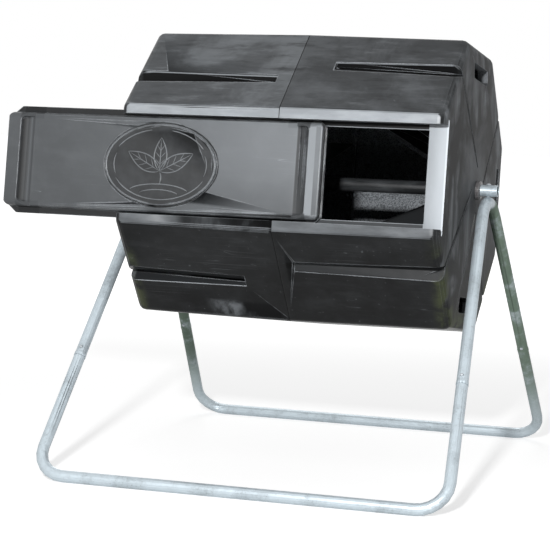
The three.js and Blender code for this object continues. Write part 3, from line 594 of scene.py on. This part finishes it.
def round_shading(angle):
    """A node group that shades a mesh smooth across edges flatter than angle, in degrees.

    It joins the corners that lie in one place and drops their stored flat normals. Nothing
    moves.
    """
    group = bpy.data.node_groups.new("round_shading", "GeometryNodeTree")
    for way in ("INPUT", "OUTPUT"):
        group.interface.new_socket("Geometry", in_out=way, socket_type="NodeSocketGeometry")
    start = group.nodes.new("NodeGroupInput")
    weld = group.nodes.new("GeometryNodeMergeByDistance")
    weld.inputs["Distance"].default_value = 1e-8
    drop = group.nodes.new("GeometryNodeRemoveAttribute")
    drop.inputs["Name"].default_value = "custom_normal"
    faces = group.nodes.new("GeometryNodeSetShadeSmooth")
    edges = group.nodes.new("GeometryNodeSetShadeSmooth")
    edges.domain = "EDGE"
    end = group.nodes.new("NodeGroupOutput")
    bend = group.nodes.new("GeometryNodeInputMeshEdgeAngle")
    flat = group.nodes.new("FunctionNodeCompare")
    flat.operation = "LESS_THAN"
    flat.inputs["B"].default_value = math.radians(angle)
    group.links.new(bend.outputs["Unsigned Angle"], flat.inputs["A"])
    group.links.new(flat.outputs["Result"], edges.inputs["Shade Smooth"])
    chain = [start, weld, drop, faces, edges, end]
    for first, second in zip(chain, chain[1:]):
        group.links.new(first.outputs["Geometry"], second.inputs["Geometry"])
    return group


MOULDED = ("door", "drum_half_left", "drum_half_right")
SOFT, ROUND = round_shading(28), round_shading(40)
for node_name, node in NODES.items():
    shading = node.modifiers.new("round_shading", "NODES")
    shading.node_group = SOFT if node_name in MOULDED else ROUND
for node_name in MOULDED:
    flat_faces = NODES[node_name].modifiers.new("flat_faces", "WEIGHTED_NORMAL")
    flat_faces.keep_sharp = True
    flat_faces.weight = 90


def smooth(piece, angle):
    """Smooth shading of a piece made here, across facets flatter than angle, in degrees."""
    for other in bpy.context.selected_objects:
        other.select_set(False)
    bpy.context.view_layer.objects.active = piece
    piece.select_set(True)
    bpy.ops.object.shade_smooth_by_angle(angle=math.radians(angle))
    piece.select_set(False)


# ---------------------------------------------------------------- emblem


# Across and out, as shares of a line's width and height; its foot is sunk into the door.
LINE_SECTION = (
    (-0.5, -0.35),
    (-0.46, 0.4),
    (-0.25, 0.85),
    (0.0, 1.0),
    (0.25, 0.85),
    (0.46, 0.4),
    (0.5, -0.35),
)
LINE_END = 0.35  # size of a line at its ends, as a share of its size further in
VEIN_RUN = 0.17  # of the leaf's length, from a vein's root to its tip
VEIN_REACH = 0.86  # of the leaf's half width
FIRST_VEIN, VEIN_SPACING = 0.2, 0.2  # of the leaf's length


def shares(steps):
    """Evenly spaced from 0 to 1."""
    return [k / steps for k in range(steps + 1)]


def on_door(along, up, out):
    """A place from the door's middle, out in front of the oval's field."""
    place = Vector((DOOR_MIDDLE + along, -OVAL_FACE - out, up))
    return AXLE + Matrix.Rotation(-TILT, 3, "X") @ place


def raised_line(mesh, path, width=0.0026, height=0.0009):
    """A moulded line of rounded section along path, which narrows to its ends."""
    rings = []
    last = len(path) - 1
    for i, (along, up) in enumerate(path):
        before, after = path[max(i - 1, 0)], path[min(i + 1, last)]
        run = math.hypot(after[0] - before[0], after[1] - before[1])
        across = (-(after[1] - before[1]) / run, (after[0] - before[0]) / run)
        size = LINE_END + (1 - LINE_END) * min(1.0, i / 3, (last - i) / 3)
        ring = []
        for sideways, out in LINE_SECTION:
            shift = sideways * width * size
            rise = out * height * (size if out > 0 else 1)
            corner = on_door(along + across[0] * shift, up + across[1] * shift, rise)
            ring.append(mesh.verts.new(corner))
        rings.append(ring)
    for first, second in zip(rings, rings[1:]):
        for k in range(len(first)):
            n = (k + 1) % len(first)
            mesh.faces.new((first[k], first[n], second[n], second[k]))
    mesh.faces.new(rings[0])
    mesh.faces.new(reversed(rings[-1]))


def leaf(mesh, base, tip, bulge, veins=3):
    """Outline, side veins and midrib of one leaf."""
    (x0, y0), (x1, y1) = base, tip
    length = math.hypot(x1 - x0, y1 - y0)
    side = (-(y1 - y0) / length, (x1 - x0) / length)

    def at(t, offset):
        return (x0 + (x1 - x0) * t + side[0] * offset, y0 + (y1 - y0) * t + side[1] * offset)

    def edge(t):
        return bulge * math.sin(math.pi * t ** 0.85) ** 0.9

    for way in (1, -1):
        raised_line(mesh, [at(t, way * edge(t)) for t in shares(18)])
        for v in range(veins):
            root = FIRST_VEIN + VEIN_SPACING * v
            reach = way * VEIN_REACH * edge(root + VEIN_RUN)
            vein = [at(root + VEIN_RUN * t, reach * t) for t in shares(6)]
            raised_line(mesh, vein, width=0.0019, height=0.0007)
    raised_line(mesh, [at(0.92 * t, 0.0) for t in shares(10)], width=0.0022)


def arc(rx, ry, start, stop, steps=28, middle=(0.0, 0.0)):
    """Points on an ellipse from start to stop degrees."""
    turns = [math.radians(start + (stop - start) * t) for t in shares(steps)]
    return [(middle[0] + rx * math.cos(a), middle[1] + ry * math.sin(a)) for a in turns]


def emblem():
    """Three leaves over a small mound, inside a broken oval line."""
    mesh = bmesh.new()
    sprout = (0.0, -0.014)
    leaf(mesh, sprout, (-0.074, 0.026), bulge=0.0165)
    leaf(mesh, sprout, (0.074, 0.026), bulge=0.0165)
    leaf(mesh, sprout, (0.0, 0.058), bulge=0.0145)
    stem = [(0.004 * math.sin(3 * t), sprout[1] - 0.03 * t) for t in shares(8)]
    raised_line(mesh, stem, width=0.003)
    raised_line(mesh, arc(0.07, 0.02, 20, 160, middle=(0.0, -0.062)))
    raised_line(mesh, arc(0.046, 0.012, 20, 160, steps=18, middle=(0.0, -0.066)), width=0.0021)
    for start, stop in ((205, 335), (28, 78), (102, 152)):
        raised_line(mesh, arc(0.11, 0.0755, start, stop))
    for start, stop in ((-18, 18), (162, 198)):
        raised_line(mesh, arc(0.106, 0.072, start, stop, steps=12), width=0.0021)
    bmesh.ops.recalc_face_normals(mesh, faces=mesh.faces)
    data = bpy.data.meshes.new("door_emblem")
    mesh.to_mesh(data)
    mesh.free()
    piece = bpy.data.objects.new("door_emblem", data)
    bpy.context.scene.collection.objects.link(piece)
    data.materials.append(EMBLEM)
    smooth(piece, 40)
    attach(piece, "door")


emblem()


# ----------------------------------------------------------------- stage


FLOOR_REACH = 30.0  # middle of the floor to its edges
WHITENS_FROM, WHITE_FROM = 1.2, 5.0  # distances from the middle of the floor


def seen_mask(nodes, links):
    """1 for camera, glossy and transmission rays: what the background shows as."""
    path = nodes.new("ShaderNodeLightPath")
    first = nodes.new("ShaderNodeMath")
    first.operation = "MAXIMUM"
    links.new(path.outputs["Is Camera Ray"], first.inputs[0])
    links.new(path.outputs["Is Glossy Ray"], first.inputs[1])
    second = nodes.new("ShaderNodeMath")
    second.operation = "MAXIMUM"
    links.new(first.outputs[0], second.inputs[0])
    links.new(path.outputs["Is Transmission Ray"], second.inputs[1])
    return second.outputs[0]


def floor_paper(base, near, far):
    """Pale paper that shows as white far off, and keeps the object's shadow round it.

    Its glow is near within WHITENS_FROM of the middle and far beyond WHITE_FROM.
    """
    material = bpy.data.materials.new("floor_paper")
    material.use_nodes = True
    nodes, links = material.node_tree.nodes, material.node_tree.links
    shader = nodes["Principled BSDF"]
    shader.inputs["Base Color"].default_value = (base, base, base, 1)
    shader.inputs["Roughness"].default_value = 1.0
    shader.inputs["Specular IOR Level"].default_value = 0.0
    shader.inputs["Emission Color"].default_value = (1, 1, 1, 1)
    place = nodes.new("ShaderNodeTexCoord")
    reach = nodes.new("ShaderNodeVectorMath")
    reach.operation = "LENGTH"
    links.new(place.outputs["Object"], reach.inputs[0])
    glow = nodes.new("ShaderNodeMapRange")
    glow.interpolation_type = "SMOOTHSTEP"
    glow.inputs["From Min"].default_value = WHITENS_FROM
    glow.inputs["From Max"].default_value = WHITE_FROM
    glow.inputs["To Min"].default_value = near
    glow.inputs["To Max"].default_value = far
    links.new(reach.outputs["Value"], glow.inputs["Value"])
    amount = nodes.new("ShaderNodeMath")
    amount.operation = "MULTIPLY"
    links.new(glow.outputs["Result"], amount.inputs[1])
    links.new(seen_mask(nodes, links), amount.inputs[0])
    links.new(amount.outputs[0], shader.inputs["Emission Strength"])
    return material


def floor():
    mesh = bpy.data.meshes.new("floor")
    corners = [(x * FLOOR_REACH, y * FLOOR_REACH, 0) for x, y in ((-1, -1), (1, -1), (1, 1), (-1, 1))]
    mesh.from_pydata(corners, [], [(0, 1, 2, 3)])
    obj = bpy.data.objects.new("floor", mesh)
    bpy.context.scene.collection.objects.link(obj)
    obj.data.materials.append(floor_paper(base=0.55, near=0.62, far=0.95))


def sky(low, high):
    """White to the eye; as light, weak from the sides and stronger from above."""
    world = bpy.data.worlds.new("studio")
    bpy.context.scene.world = world
    world.use_nodes = True
    nodes, links = world.node_tree.nodes, world.node_tree.links
    background = nodes["Background"]
    background.inputs["Color"].default_value = (1, 1, 1, 1)
    direction = nodes.new("ShaderNodeTexCoord")
    split = nodes.new("ShaderNodeSeparateXYZ")
    links.new(direction.outputs["Generated"], split.inputs[0])
    level = nodes.new("ShaderNodeMapRange")
    level.inputs["From Min"].default_value = 0.0
    level.inputs["From Max"].default_value = 1.0
    level.inputs["To Min"].default_value = low
    level.inputs["To Max"].default_value = high
    links.new(split.outputs["Z"], level.inputs["Value"])
    pick = nodes.new("ShaderNodeMix")
    links.new(seen_mask(nodes, links), pick.inputs["Factor"])
    links.new(level.outputs["Result"], pick.inputs["A"])
    pick.inputs["B"].default_value = 1.0
    links.new(pick.outputs["Result"], background.inputs["Strength"])


def area_lamp(name, location, size, power):
    """A square lamp that shines at the middle of the axle."""
    lamp = bpy.data.lights.new(name, "AREA")
    lamp.shape = "SQUARE"
    lamp.size = size
    lamp.energy = power
    obj = bpy.data.objects.new(name, lamp)
    bpy.context.scene.collection.objects.link(obj)
    obj.location = location
    direction = AXLE - location
    obj.rotation_euler = direction.to_track_quat("-Z", "Y").to_euler()


def from_object(azimuth, elevation, distance):
    """A place seen from the axle's middle at azimuth right of the front, and elevation."""
    a, e = math.radians(azimuth), math.radians(elevation)
    way = Vector((math.sin(a) * math.cos(e), -math.cos(a) * math.cos(e), math.sin(e)))
    return AXLE + distance * way


floor()
sky(low=0.1, high=0.45)
area_lamp("key", from_object(azimuth=9, elevation=15, distance=4.6), size=0.22, power=210)
area_lamp("rear_fill", from_object(azimuth=197, elevation=32, distance=5.5), size=2.4, power=70)


# ---------------------------------------------------------------- camera


LENS = 132.1  # in millimetres, on a sensor 36 wide
CAMERA_PLACE = Vector((AXLE.x + 1.2847, -4.3606, 0.8064))
CAMERA_TURN = math.radians(17.51)  # right of the front
CAMERA_DIP = math.radians(4.91)  # below level
CAMERA_ROLL = math.radians(1.92)


def photo_camera():
    """The photograph's viewpoint."""
    data = bpy.data.cameras.new("photo_view")
    data.sensor_width = 36.0
    data.lens = LENS
    data.clip_start, data.clip_end = 0.05, 60.0
    camera = bpy.data.objects.new("photo_view", data)
    bpy.context.scene.collection.objects.link(camera)
    across = Vector((math.cos(CAMERA_TURN), math.sin(CAMERA_TURN), 0.0))
    ahead = Vector((-math.sin(CAMERA_TURN), math.cos(CAMERA_TURN), 0.0))
    forward = math.cos(CAMERA_DIP) * ahead - math.sin(CAMERA_DIP) * Vector((0, 0, 1))
    upward = across.cross(forward)
    right = math.cos(CAMERA_ROLL) * across + math.sin(CAMERA_ROLL) * upward
    up = -math.sin(CAMERA_ROLL) * across + math.cos(CAMERA_ROLL) * upward
    axes = Matrix((right, up, -forward)).transposed()
    camera.matrix_world = Matrix.Translation(CAMERA_PLACE) @ axes.to_4x4()
    bpy.context.scene.camera = camera


photo_camera()
bpy.context.scene.view_settings.view_transform = "Standard"
